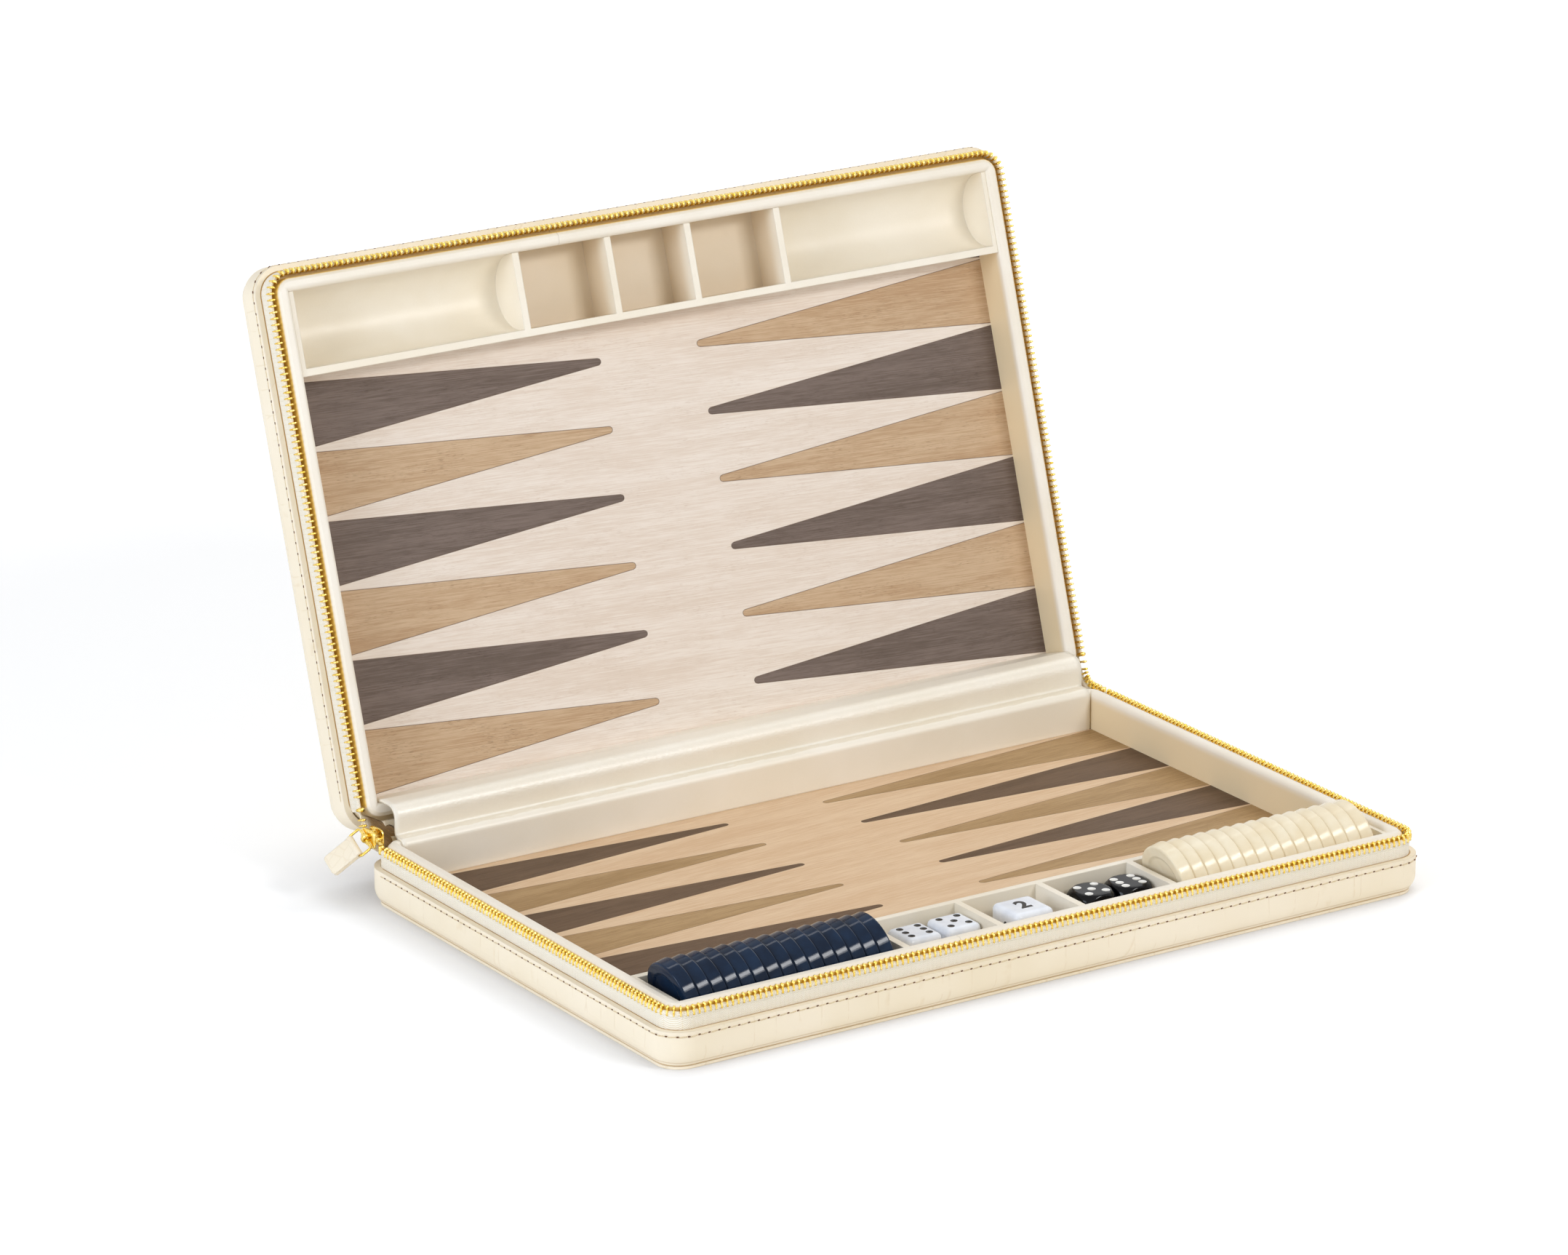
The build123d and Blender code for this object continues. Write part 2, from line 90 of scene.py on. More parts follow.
class Value:
    """A socket in a finish, on which Python's own operators work."""

    def __init__(self, tree, socket):
        self.tree = tree
        self.socket = socket

    def node(self, kind, settings=(), inputs=(), output=0):
        """Any other node: its settings first, then the values or links of its sockets."""
        made = self.tree.nodes.new(kind)
        for key, value in dict(settings).items():
            setattr(made, key, value)
        for key, value in dict(inputs).items():
            if isinstance(value, Value):
                self.tree.links.new(value.socket, made.inputs[key])
            else:
                made.inputs[key].default_value = value
        return Value(self.tree, made.outputs[output])

    def sum(self, operation, *values):
        return self.node("ShaderNodeMath", {"operation": operation}, enumerate((self, *values)))

    def vector(self, operation, *values, output=0):
        settings = {"operation": operation}
        return self.node("ShaderNodeVectorMath", settings, enumerate((self, *values)), output)

    def __add__(self, other):
        return self.sum("ADD", other)

    def __mul__(self, other):
        return self.sum("MULTIPLY", other)

    def __sub__(self, other):
        return self.sum("SUBTRACT", other)

    def __truediv__(self, other):
        return self.sum("DIVIDE", other)

    def __mod__(self, other):
        return self.sum("FLOORED_MODULO", other)

    def __rsub__(self, other):
        return self.node("ShaderNodeMath", {"operation": "SUBTRACT"}, {0: other, 1: self})

    __radd__, __rmul__ = __add__, __mul__

    def __abs__(self):
        return self.sum("ABSOLUTE")

    def rise(self, low, high):
        """0 below low, 1 above high, smooth between."""
        settings = {"interpolation_type": "SMOOTHSTEP"}
        return self.node("ShaderNodeMapRange", settings, {0: self, 1: low, 2: high})

    def line(self, middle, width):
        """1 on a line at middle, 0 beyond its width."""
        return 1 - abs(self - middle).rise(width / 2, width)

    def mix(self, low, high):
        """Two colours mixed by this value, each from another mix or written out."""
        low, high = (paint(c) if isinstance(c, str) else c for c in (low, high))
        return self.node("ShaderNodeMix", {"data_type": "RGBA"}, {0: self, 6: low, 7: high}, 2)

    def millimetres(self):
        """A place in metres, in millimetres."""
        return self.node("ShaderNodeVectorMath", {"operation": "SCALE"}, {0: self, "Scale": 1000})

    def over(self, size):
        """A place over the size of a grain, which is one number or one for each axis."""
        return self.vector("DIVIDE", size if isinstance(size, tuple) else (size,) * 3)

    def noise(self, size, detail=3.0, rough=0.55):
        """Cloudy noise with grains of a size."""
        place = self.over(size)
        inputs = {"Vector": place, "Scale": 1.0, "Detail": detail, "Roughness": rough}
        return place.node("ShaderNodeTexNoise", (), inputs)

    def cells(self, size, feature="F1", uneven=1.0):
        """Distance inside irregular cells of a size."""
        place = self.over(size)
        inputs = {"Vector": place, "Scale": 1.0, "Randomness": uneven}
        return place.node("ShaderNodeTexVoronoi", {"feature": feature}, inputs)

    def parts(self):
        split = self.node("ShaderNodeSeparateXYZ", (), {0: self}).socket.node
        return [Value(self.tree, out) for out in split.outputs]


def new_finish(name, **constants):
    """A material, its shader with the constants set, and the place on the piece in metres."""
    material = bpy.data.materials.new(name)
    material.use_nodes = True
    tree = material.node_tree
    shader = tree.nodes["Principled BSDF"]
    for key, value in constants.items():
        shader.inputs[key.replace("_", " ")].default_value = value
    place = Value(tree, tree.nodes.new("ShaderNodeTexCoord").outputs["Object"])
    return material, shader, place


def in_tray(place, tray):
    """The place in millimetres as if the tray lay open side up on the table."""
    back = trays[tray].inverted()
    rows = [
        place.vector("DOT_PRODUCT", tuple(back[i].xyz * 1000), output=1) + back[i].w * 1000
        for i in range(3)
    ]
    return place.node("ShaderNodeCombineXYZ", (), enumerate(rows))


def dress(shader, colour, rough, height=None, depth=0.1, edge=0.0):
    """Links colour, roughness, a relief `depth` mm deep and edges eased by `edge` mm."""
    links = colour.tree.links
    links.new(colour.socket, shader.inputs["Base Color"])
    if isinstance(rough, Value):
        links.new(rough.socket, shader.inputs["Roughness"])
    else:
        shader.inputs["Roughness"].default_value = rough
    normal = None
    if edge:
        normal = colour.node("ShaderNodeBevel", {"samples": 6}, {"Radius": edge * MM})
    if height is not None:
        inputs = {"Height": height, "Distance": depth * MM, "Strength": 1.0}
        if normal is not None:
            inputs["Normal"] = normal
        normal = colour.node("ShaderNodeBump", (), inputs)
    if normal is not None:
        links.new(normal.socket, shader.inputs["Normal"])


def outward(x, y):
    """How far out from the cavity's wall a place lies, in millimetres, round the corners too."""
    beside = (abs(x) - (cavity_half - corner_base) / MM).sum("MAXIMUM", 0.0)
    before = ((cavity_front + corner_base) / MM - y).sum("MAXIMUM", 0.0)
    return (beside * beside + before * before).sum("SQRT") - corner_base / MM


def calf(name, tray="base", lay="walls"):
    """Embossed outer leather: upright creases on the walls, scales on a panel or the pull."""
    material, shader, place = new_finish(name, Specular_IOR_Level=0.42)
    spot = in_tray(place, tray)
    x, y, z = spot.parts()
    waver = spot.noise(4.0)
    broken = spot.noise((19.0, 19.0, 7.0)).rise(0.42, 0.6)
    if lay == "walls":
        across = place.node("ShaderNodeCombineXYZ", (), {0: x + y, 1: z, 2: 0.0})
        edge = across.cells((11.0, 70.0, 1.0), "DISTANCE_TO_EDGE", 0.6)
        crease = (1 - (edge + waver * 0.02).rise(0.01, 0.04)) * broken
        scale, strong = crease * 0.7, 0.2
    elif lay == "pull":
        edge = spot.cells((4.6, 3.4, 5.2), "DISTANCE_TO_EDGE", 0.35)
        crease = 1 - (edge + waver * 0.06).rise(0.03, 0.11)
        scale, strong = crease * 0.7, 0.13
    else:
        drift = spot.noise(26.0, 2.0) * 13
        row = (y + drift) / scale_high
        number = row.sum("FLOOR")
        step = (x + drift + number * row_shift) / scale_long
        beside = scale_long / 2 - abs(step - step.sum("FLOOR") - 0.5) * scale_long
        above = scale_high / 2 - abs(row - number - 0.5) * scale_high
        edge = beside.sum("MINIMUM", above) + waver * 0.4
        crease = (1 - edge.rise(0.25, 0.85)) * (0.45 + broken * 0.55)
        scale, strong = crease * 0.6 - edge.rise(0.2, 3.5) * 0.5, 0.22
    grain = spot.cells(0.55)
    cloud = spot.noise(45.0, 2.0)
    colour = cloud.rise(0.25, 0.75).mix("#F1E2C5", "#F7EAD2")
    colour = (crease * strong).mix(colour, "#D2B27C")
    height = grain * 0.14 + waver * 0.22 - scale
    if lay == "walls":
        foot = z.line(wall_foot / MM + 0.35, 0.3) * 0.7
        turned = z.line(wall_foot / MM + 1.9, 0.3) * 0.35
        # Painted shade: the golden-brown line on the wall's top inner edge stands for the shade in
        # the narrow gap where the fold meets the tape.
        inner = 1 - outward(x, y).rise(wall_in + 0.4, wall_in + 0.6)
        edge = inner * (z - wall_top / MM).rise(-1.6, -1.2)
        fold = edge * (1 - y.rise(fold_end, fold_end + 2.0)) * 0.95
        colour = foot.sum("MAXIMUM", fold).sum("MAXIMUM", turned).mix(colour, "#B4883A")
        height = height - (foot + turned) * 1.4
    rough = 0.34 + grain * 0.12 + cloud * 0.08
    dress(shader, colour, rough, height, 0.08, 0.55)
    return material


def given(node, material):
    """A CAD node takes its finish."""
    slots = frame["nodes"][node].data.materials
    slots.clear()
    slots.append(material)


for tray in trays:
    given(f"{tray}_side_wall", calf(f"{tray} wall calf", tray))

# ---------------------------------------------------------------------------
# Bottom panels: the same embossed leather over board, in broad squares, its
# turned edge showing as a thin lip all round under the walls.
for tray in trays:
    given(f"{tray}_bottom_panel", calf(f"{tray} panel calf", tray, "panel"))

# ---------------------------------------------------------------------------
# Lock stitch along each wall: waxed cream thread, sewn by machine through the
# folded top of the leather and the tape, each stitch drawn down into a needle
# hole; the holes are small dark pegs, painted shade.
stitch_pitch = 4.35 * MM
stitch_length, stitch_thread = 3.3, 0.56
stitch_drop = 1.9 * MM
stitch_tilt, stitch_wander = 4.0, 1.5
stitch_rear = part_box("base_side_wall")[1].y - 13.0 * MM
tray_rear = pin.y - 10.25 * MM


def tray_route(out, rear):
    """Round three sides of a tray, `out` from its cavity: the length, and a way to any place."""
    x, y, radius = cavity_half + out, cavity_front - out, corner_base + out
    side = rear - (y + radius)
    quarter = math.pi / 2 * radius
    across = 2 * (x - radius)
    stretches = side, quarter, across, quarter, side
    left, right, near = radius - x, x - radius, y + radius
    starts = (-x, rear), (left, near), (left, y), (right, near), (x, near)

    def at(s):
        for i, length in enumerate(stretches):
            if s <= length or i == 4:
                break
            s -= length
        start, heading = Vector((*starts[i], 0)), (i // 2 - 1) * math.pi / 2
        if i % 2:  # a corner, from its centre
            heading += s / radius
            return start + radius * Vector((math.sin(heading), -math.cos(heading), 0)), heading
        return start + s * Vector((math.cos(heading), math.sin(heading), 0)), heading

    return sum(stretches), at


def build(name, points, faces, material, tray=None):
    """A piece from points and faces in metres; a tray's piece is given as if open side up."""
    place = trays[tray] if tray else Matrix.Identity(4)
    mesh = bpy.data.meshes.new(name)
    mesh.from_pydata([place @ Vector(p) for p in points], [], faces)
    if place.determinant() < 0:
        mesh.flip_normals()
    for face in mesh.polygons:
        face.use_smooth = True
    mesh.materials.append(material)
    mesh.update()
    piece = bpy.data.objects.new(name, mesh)
    bpy.context.scene.collection.objects.link(piece)
    return piece


def outline(sides, square=2.0, start=0.0):
    """Points round a circle of radius 1, or a rounded square as `square` grows."""
    for i in range(sides):
        turn = 2 * math.pi * (i + start) / sides
        c, s = math.cos(turn), math.sin(turn)
        reach = (abs(c) ** square + abs(s) ** square) ** (-1 / square)
        yield reach * c, reach * s


def rings(sections):
    """Points and faces of a stack of rings, skinned and closed at both ends."""
    sides, last = len(sections[0]), len(sections) - 1
    faces = []
    for k in range(last):
        for i in range(sides):
            a, b = k * sides + i, k * sides + (i + 1) % sides
            faces.append((a, b, b + sides, a + sides))
    faces.append(tuple(range(sides))[::-1])
    faces.append(tuple(range(last * sides, (last + 1) * sides)))
    return [point for ring in sections for point in ring], faces


def peg(sections, sides=8, square=3.0):
    """A closed stack of rounded outlines, each (z, half along, half across) in millimetres."""
    return rings([
        [Vector((along * u * MM, across * v * MM, z * MM)) for u, v in outline(sides, square, 0.5)]
        for z, along, across in sections
    ])  # fmt: skip


def joined(*shapes):
    """Several sets of points and faces as one."""
    points, faces = [], []
    for shape in shapes:
        start = len(points)
        points += shape[0]
        faces += [tuple(start + i for i in face) for face in shape[1]]
    return points, faces


def many(shape, places):
    """One shape copied to each place."""
    return joined(*(([place @ p for p in shape[0]], shape[1]) for place in places))


def thread(name, low, high):
    material, shader, place = new_finish(name, Specular_IOR_Level=0.3, Sheen_Weight=0.2)
    spot = place.millimetres()
    twist = spot.noise(0.22, 2.0)
    colour = twist.rise(0.35, 0.65).mix(low, high)
    dress(shader, colour, 0.62 + twist * 0.15, twist, 0.08)
    return material


cream_thread = thread("waxed cream thread", "#D3BA8F", "#E9D9B8")
# The needle holes are small dark pegs: painted shade in the holes.
hole_shade = thread("needle holes", "#5A3A1C", "#7C552C")
half = stitch_length / 2
ends = [(-1.0, 0.25), (-0.8, 0.75), (-0.35, 1.0), (0.35, 1.0), (0.8, 0.75), (1.0, 0.25)]
stitch = peg([(a * half, r * stitch_thread / 2, r * stitch_thread * 0.42) for a, r in ends], 6, 2)
hole = peg([(-0.52, 0.1, 0.1), (-0.35, 0.3, 0.2), (0.35, 0.3, 0.2), (0.52, 0.1, 0.1)], 8, 2)
for tray in trays:
    total, at = tray_route(wall_out, stitch_rear)
    count = int(total / stitch_pitch)
    stitches, holes = [], []
    for i in range(count):
        place, heading = at((i + 0.5) * total / count)
        tilt = math.radians(stitch_tilt + random.uniform(-stitch_wander, stitch_wander))
        lay = Matrix.Rotation(heading, 4, "Z") @ Matrix.Rotation(math.pi / 2 - tilt, 4, "Y")
        level = Matrix.Translation(place + Vector((0, 0, wall_top - stitch_drop))) @ lay
        stitches.append(level)
        holes.append(level @ Matrix.Translation((0, -0.04 * MM, stitch_pitch / 2)))
    for name, shape, places, material in (
        ("stitches", stitch, stitches, cream_thread),
        ("stitch_holes", hole, holes, hole_shade),
    ):
        piece = build(f"{tray}_wall_{name}", *many(shape, places), material, tray)
        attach(piece, tray)

# ---------------------------------------------------------------------------
# Inner frames: board wrapped in smooth pearl calf, rounded at the rim.  The zip
# groove outside it is lined; a strong gold is painted on it as the teeth's
# reflection, and the frame below the rim is painted a warmer cream as shade.
groove_seam = -42.0


def pearl(name, tray="base", groove=False, pale="#F8F1E4", deep="#F0E6D3", bays=0.0):
    """Smooth inner leather with a fine pressed grain and a soft lustre."""
    material, shader, place = new_finish(name, Coat_Weight=0.12, Coat_Roughness=0.3)
    spot = in_tray(place, tray)
    x, y, z = spot.parts()
    grain = spot.cells(0.7)
    pull = spot.noise((9.0, 3.0, 9.0), 4.0)
    cloud = spot.noise(45.0)
    colour = (cloud.rise(0.3, 0.7) * 0.7 + grain * 0.15).mix(deep, pale)
    rough = 0.36 + pull * 0.18
    height = grain * 0.2 + pull * 0.5
    if groove:
        # Painted shade: below the rim the frame is painted a warmer, darker cream, as shade with a
        # warm bounce.
        under = 1 - (z - rim / MM).rise(-4.5, -1.2)
        colour = (under * 0.75).mix(colour, "#EAD2A2")
        # Painted reflection: the frame's outer face by the teeth is painted strong gold, as the
        # teeth's reflection.
        glow = outward(x, y).rise(4.8, 5.35) * (z - rim / MM).rise(-7.2, -6.2)
        colour = (glow * 0.92).mix(colour, "#E8BC44")
        seam = x.line(groove_seam, 0.1) * y.sum("LESS_THAN", cavity_front / MM)
        colour = (seam * 0.5).mix(colour, "#9C7F55")
        height = height - seam * 1.5
    # Painted shade: low down in the bays the lining is painted darker and warmer, by the strength
    # `bays`.
    if bays:
        sunk = 1 - (z - lining_top / MM).rise(-9.0, -1.0)
        between = abs(x).sum("LESS_THAN", bays_half)
        colour = (sunk * between * bays).mix(colour, "#CFAE7C")
    dress(shader, colour, rough, height, 0.06, 0.5)
    return material


for tray in trays:
    given(f"{tray}_frame", pearl(f"{tray} frame pearl", tray, groove=True))

# ---------------------------------------------------------------------------
# Organizers: a moulded insert lined with the same pearl calf, with half-round
# troughs for the checkers and three bays between wrapped dividers.
lining_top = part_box("base_organizer")[1].z
bays_half = 63.0
# How strongly shade is painted in the bays: more in the lid than in the base.
for tray, bay_shade in (("base", 0.12), ("lid", 0.42)):
    lining = pearl(f"{tray} lining", tray, pale="#F7EFDF", deep="#EFE4CE", bays=bay_shade)
    given(f"{tray}_organizer", lining)

# ---------------------------------------------------------------------------
# Playing boards: a sliced oak field into which the long points are let by
# marquetry, dark smoked and natural tan, each with a rounded tip and the fine
# scorched line that the cutting leaves round it.  Sealed with a matt oil.
point_pitch = 28.0
point_length = 142.9
point_wide = 13.5
point_narrow = 1.3
board_margin = 1.2
leaf_row, leaf_side, leaf_across = 61, 400, 17  # so that no two points are cut from one leaf
# One oak and the same inlays in both trays; the base's shades are painted darker and warmer and
# the lid's paler, for how the light falls on each.
boards = {
    "base": (("#D6B48F", "#E4C8A6"), ("#A08055", "#B7976C"), ("#58432F", "#6D5540")),
    "lid": (("#E6D5C4", "#F3E7DA"), ("#BC9A76", "#D2B593"), ("#65564C", "#7D6D64")),
}


def wood(spot, shades, pore, strength):
    """Veneer: long fibres, a slow figure and short open pores, a little off the board's length."""
    x, y, _ = spot.parts()
    laid = spot.node("ShaderNodeCombineXYZ", (), {0: x + y * 0.045, 1: y - x * 0.045, 2: 0.0})
    fibre = laid.noise((24.0, 0.4, 1.0), 4.0, 0.6)
    ripple = laid.noise((9.0, 1.0, 1.0), 2.0)
    figure = laid.noise((110.0, 9.0, 1.0), 2.0)
    tone = (fibre * 0.5 + ripple * 0.2 + figure * 0.3).rise(0.4, 0.6)
    pores = laid.noise((3.6, 0.17, 1.0), 1.0).rise(0.62, 0.72)
    patches = laid.noise((26.0, 7.0, 1.0), 2.0).rise(0.4, 0.62)
    mark = pores * patches * strength
    return mark.mix(tone.mix(*shades), pore), fibre, mark


def veneer(name, tray):
    """The board's face: light field, dark and tan points, scorched outlines."""
    material, shader, place = new_finish(name, Specular_IOR_Level=0.2)
    spot = in_tray(place, tray)
    x, y, _ = spot.parts()
    row = (cavity_rear / MM - board_margin - y) / point_pitch
    number = row.sum("FLOOR")
    off = abs(row - number - 0.5) * point_pitch
    along = cavity_half / MM - abs(x)
    taper = (point_wide - point_narrow) / point_length
    tip = point_length - point_narrow
    flank = (off - point_wide + along * taper).sum("MAXIMUM", along - tip)
    nose = ((along - tip) * (along - tip) + off * off).sum("SQRT") - point_narrow
    outside = flank.sum("MINIMUM", nose)
    inside = 1 - outside.rise(-0.06, 0.06)
    scorch = (1 - abs(outside).rise(0.06, 0.24)) * 0.7
    right = x.sum("GREATER_THAN", 0.0)
    dark_first = 0.0 if tray == "base" else 1.0
    pale_point = (number + right + dark_first) % 2.0
    shift = {0: number * leaf_row + right * leaf_side, 1: number * leaf_across}
    own = spot.vector("ADD", place.node("ShaderNodeCombineXYZ", (), shift))
    light, tan, smoked = boards[tray]
    field, fibre, pit = wood(spot, light, "#BFA084", 0.5)
    tan, _, tan_pit = wood(own, tan, "#7A5A38", 0.65)
    dark, _, dark_pit = wood(own, smoked, "#33291F", 0.6)
    colour = inside.mix(field, pale_point.mix(dark, tan))
    colour = scorch.mix(colour, "#5A4230")
    height = fibre * 0.5 - pit * 1.2 - inside * (tan_pit + dark_pit) * 0.6 - scorch * 1.5
    rough = 0.5 + fibre * 0.14 - inside * 0.06
    dress(shader, colour, rough, height, 0.04)
    return material


for tray in trays:
    face = veneer(f"{tray} marquetry", tray)
    for part in ("board", "dark_points", "tan_points"):
        given(f"{tray}_{part}", face)

# ---------------------------------------------------------------------------
# Zip tape: white polyester woven in a fine herringbone, sewn between frame and
# wall, with a corded edge that the teeth are clamped on.
tape_top = rim - 3.5 * MM
cord_half, cord_middle, cord_rise = 0.8424 * MM, -2.725 * MM, 1.053 * MM
cord_step = 1.5 * MM


def herringbone(name, tray="base", tucked=False):
    """Woven tape; `tucked` for the free ends, painted dark as shade where tucked in."""
    material, shader, place = new_finish(name, Specular_IOR_Level=0.2, Sheen_Weight=0.15)
    spot = in_tray(place, tray)
    x, y, z = spot.parts()
    along = x + y
    rib = abs((along % 1.9) - 0.95)
    yarn = ((z + rib * 1.1) * 7.5).sum("SINE") * 0.5 + 0.5
    furrow = 1 - rib.rise(0.0, 0.16)
    cord = z.line(tape_top / MM - 0.5, 0.55)
    cloud = spot.noise(2.0)
    tone = (yarn * 0.7 + cloud * 0.4 - furrow * 0.3).rise(0.0, 0.9)
    colour = tone.mix("#EEE0C2", "#FFFAEE")
    if tucked:
        # Painted shade: the part tucked in towards the spine is painted dark brown.
        tucked_shade = 1 - abs(x).rise(tape_x / MM - 5.0, tape_x / MM - 1.0)
        colour = (tucked_shade * 0.9).mix(colour, "#8A6326")
    dress(shader, colour, 0.78 + cloud * 0.1, yarn * 0.8 - furrow * 0.4 + cord, 0.16)
    return material


def cord(total, at):
    """The tape's thickened edge: a rounded section carried along the chain's line."""
    count = int(total / cord_step)
    sections = []
    for k in range(count + 1):
        place, heading = at(total * k / count)
        across = Vector((math.sin(heading), -math.cos(heading), 0)) * cord_half
        middle = place + Vector((0, 0, rim + cord_middle))
        round_it = outline(8, start=0.5)
        sections.append([middle + across * u - Vector((0, 0, cord_rise * v)) for u, v in round_it])
    return rings(sections)


tooth_line = 7.9 * MM
tape_x = cavity_half + tooth_line
for tray in trays:
    woven = herringbone(f"{tray} zip tape", tray)
    given(f"{tray}_zipper_tape", woven)
    piece = build(f"{tray}_tape_cord", *cord(*tray_route(tooth_line, tray_rear)), woven, tray)
    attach(piece, tray)

# ---------------------------------------------------------------------------
# Zip teeth: stamped brass, gilded and polished, each clamped over the tape's
# cord with two short legs and a rounded head.  The lid's chain stands half a
# pitch along, so that the heads mesh.
tooth_pitch = 2.45 * MM
stop_length = 1.8 * MM


def gilt(name, rough=0.18, relief=0.015, edge=0.0):
    material, shader, place = new_finish(name, Metallic=1.0)
    spot = place.millimetres()
    cloud = spot.noise(1.3)
    brushed = spot.noise((0.25, 2.0, 0.25), 2.0)
    colour = cloud.rise(0.3, 0.7).mix("#E8C24A", "#FBE391")
    dress(shader, colour, rough + brushed * 0.12, brushed * 0.5 + cloud * 0.5, relief, edge)
    return material


gilded = gilt("gilded brass")
tooth = peg([
    (-3.5, 0.34, 1.24), (-3.2, 0.44, 1.32), (-1.7, 0.45, 1.3), (-1.35, 0.3, 1.12),
    (-1.0, 0.36, 1.1), (-0.7, 0.5, 1.14), (-0.15, 0.5, 1.08), (0.02, 0.44, 0.78),
    (0.3, 0.4, 0.6), (0.48, 0.2, 0.28),
])  # fmt: skip
stop = peg([(-3.5, 0.7, 1.1), (-3.1, 0.88, 1.28), (-0.5, 0.88, 1.28), (0.0, 0.7, 1.0)])


def standing(place, heading):
    """A tooth's place on the tray's rim."""
    raised = Matrix.Translation(place + Vector((0, 0, rim)))
    return raised @ Matrix.Rotation(heading, 4, "Z")


for tray, offset in (("base", 0.0), ("lid", 0.5)):
    total, at = tray_route(tooth_line, tray_rear)
    count = int((total - 2 * stop_length) / tooth_pitch) - 1
    start = (total - (count - 1) * tooth_pitch) / 2 + offset * tooth_pitch
    ends = stop_length / 2, total - stop_length / 2
    chain = joined(
        many(tooth, [standing(*at(start + i * tooth_pitch)) for i in range(count)]),
        many(stop, [standing(*at(s)) for s in ends]),
    )
    piece = build(f"{tray}_zip_chain", *chain, gilded, tray)
    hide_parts(f"{tray}_zipper_teeth")
    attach(piece, tray)

# ---------------------------------------------------------------------------
# Inner hinge: one strip of soft pearl calf, glued to the base's rear wall, laid
# over its rim and carried in a loose fold to the lid.  Years of bending have
# creased it where it leaves the rim.
strip_thick = 1.2 * MM
strip_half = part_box("hinge_strip")[1].x
to_back = Vector((0, math.cos(math.pi - opened), math.sin(math.pi - opened)))
to_up = Vector((0, -math.sin(math.pi - opened), math.cos(math.pi - opened)))


def on_lid(back, up):
    """A place on the lid, `back` and `up` from the hinge's axis as if it were laid flat."""
    return pin + to_back * back + to_up * up


def rounded(corners, radii, step):
    """Closely spaced places on a line through corners in the YZ plane, each bend rounded."""
    line = [corners[0]]
    for before, corner, after, radius in zip(corners, corners[1:], corners[2:], radii):
        enter, leave = (corner - before).normalized(), (after - corner).normalized()
        turn = enter.angle(leave)
        cut = radius * math.tan(turn / 2)
        first, last = corner - enter * cut, corner + leave * cut
        count = max(3, int(radius * turn / step))
        middle = corner + (leave - enter).normalized() * radius / math.cos(turn / 2)
        for i in range(count + 1):
            share = i / count
            arm = (first - middle).lerp(last - middle, share).normalized() * radius
            line.append(middle + arm)
    line.append(corners[-1])
    spaced = [line[0]]
    for a, b in zip(line, line[1:]):
        count = max(1, round((b - a).length / step))
        spaced += [a.lerp(b, (k + 1) / count) for k in range(count)]
    return spaced


def two_sided(count, wide):
    """Faces of a closed sheet: `count` rows of `wide` points on one side, then on the other."""
    back, faces = count * wide, []
    for k in range(count - 1):
        for c in range(wide - 1):
            a = k * wide + c
            b = back + a
            faces += [(a, a + 1, a + wide + 1, a + wide), (b, b + wide, b + wide + 1, b + 1)]
    rows = [list(range(k * wide, (k + 1) * wide)) for k in range(count)]
    border = rows[0][:-1] + [row[-1] for row in rows[:-1]]
    border += rows[-1][:0:-1] + [row[0] for row in rows[:0:-1]]
    for a, b in zip(border, border[1:] + border[:1]):
        faces.append((b, a, back + a, back + b))
    return faces


def ribbon(line, half, thick, columns, relief, corner=0.0):
    """A sheet of a thickness along a line, with a relief over its faces and rounded corners."""
    count, points, run = len(line), [], [0.0]
    for a, b in zip(line, line[1:]):
        run.append(run[-1] + (b - a).length)
    for side in (1, -1):
        for k, place in enumerate(line):
            ahead = line[min(k + 1, count - 1)] - line[max(k - 1, 0)]
            normal = Vector((0, -ahead.z, ahead.y)).normalized()
            short = max(0.0, corner - min(run[k], run[-1] - run[k]))
            reach = half - corner + math.sqrt(corner**2 - short**2)
            for c in range(columns + 1):
                x = reach * (2 * c / columns - 1)
                lift = thick / 2 + relief(x, k / (count - 1), side)
                points.append(place + Vector((x, 0, 0)) + normal * side * lift)
    return points, two_sided(count, columns + 1)


def waver(x, seed):
    """A slow random wave along the hinge, from -1 to 1."""
    x = x / MM
    parts = [math.sin(x / size + seed * k) for k, size in enumerate((31.0, 13.7, 7.3, 4.1), 1)]
    return sum(p / (i + 1) for i, p in enumerate(parts)) / 2.1


board_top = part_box("base_board")[1].z
lining = strip_thick / 2
wall_y = cavity_rear - lining
over = rim + lining + 0.1 * MM
fold_y = pin.y - 6.8 * MM
reach = pin.y - cavity_rear + lining + 0.05 * MM
edge = on_lid(reach, lining)
foot = on_lid(reach, board_top - rim + 0.05 * MM)
corners = [
    Vector((0, wall_y, board_top)),
    Vector((0, wall_y, over)),
    Vector((0, fold_y, over)),
    Vector((0, fold_y, edge.z - 0.1 * MM)),
    edge,
    foot,
]
line = rounded(corners, [2.6 * MM, 2.0 * MM, 4.6 * MM, 2.6 * MM], 0.45 * MM)
length = len(line)
rim_share = min(range(length), key=lambda k: (line[k] - corners[2]).length) / (length - 1)
crown_share = min(range(length), key=lambda k: (line[k] - corners[3]).length) / (length - 1)


